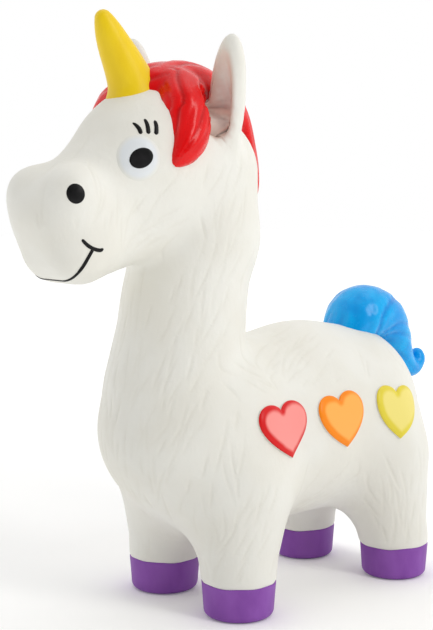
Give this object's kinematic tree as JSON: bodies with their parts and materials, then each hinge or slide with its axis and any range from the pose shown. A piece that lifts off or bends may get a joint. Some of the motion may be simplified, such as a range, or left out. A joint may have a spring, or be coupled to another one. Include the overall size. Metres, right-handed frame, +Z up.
{
  "type": "squeaky toy unicorn",
  "caption": "Hollow moulded latex unicorn toy that stands on its hooves, with painted horn, mane, tail, hearts and face and a reed squeaker in its belly.",
  "frame": {"origin": "on the floor under the middle of the toy's bounding box", "axes": "+Z up, the nose points along -Y, the toy's left side is +X"},
  "size_m": [0.0765, 0.1938, 0.2101],
  "materials": {
    "latex": "satin, moulded hair strokes",
    "horn_paint": "satin latex paint",
    "mane_paint": "glossy latex paint",
    "tail_paint": "glossy latex paint",
    "hoof_paint": "satin latex paint",
    "red_heart_paint": "glossy latex paint, paler in the middle",
    "orange_heart_paint": "glossy latex paint, paler in the middle",
    "yellow_heart_paint": "glossy latex paint",
    "eye_paint": "cool white latex paint",
    "black_paint": "black latex paint",
    "squeaker_plastic": "moulded natural plastic",
    "reed_brass": "rolled strip"
  },
  "bodies": {
    "root": {"latex_skin": "latex", "horn": "horn_paint", "mane": "mane_paint", "tail": "tail_paint", "mouth_line": "black_paint", "hoof_front_left": "hoof_paint", "hoof_front_right": "hoof_paint", "hoof_rear_left": "hoof_paint", "hoof_rear_right": "hoof_paint", "eye_white_left": "eye_paint", "pupil_left": "black_paint", "nostril_left": "black_paint", "lash_left_1": "black_paint", "lash_left_2": "black_paint", "lash_left_3": "black_paint", "heart_front_left": "red_heart_paint", "heart_middle_left": "orange_heart_paint", "heart_rear_left": "yellow_heart_paint", "eye_white_right": "eye_paint", "pupil_right": "black_paint", "nostril_right": "black_paint", "lash_right_1": "black_paint", "lash_right_2": "black_paint", "lash_right_3": "black_paint", "heart_front_right": "red_heart_paint", "heart_middle_right": "orange_heart_paint", "heart_rear_right": "yellow_heart_paint", "squeaker_barrel": "squeaker_plastic", "reed_shallot": "squeaker_plastic", "reed_ring": "squeaker_plastic"},
    "reed": {"squeaker_reed": "reed_brass"}
  },
  "joints": [
    {"name": "reed_flex", "type": "hinge", "parent": "root", "child": "reed", "pos_m": [0, 0.00145, 0.03922], "axis": [-1, 0, 0], "range_deg": [-1.8, 6], "stiffness_Nm_per_rad": 0.0005}
  ]
}
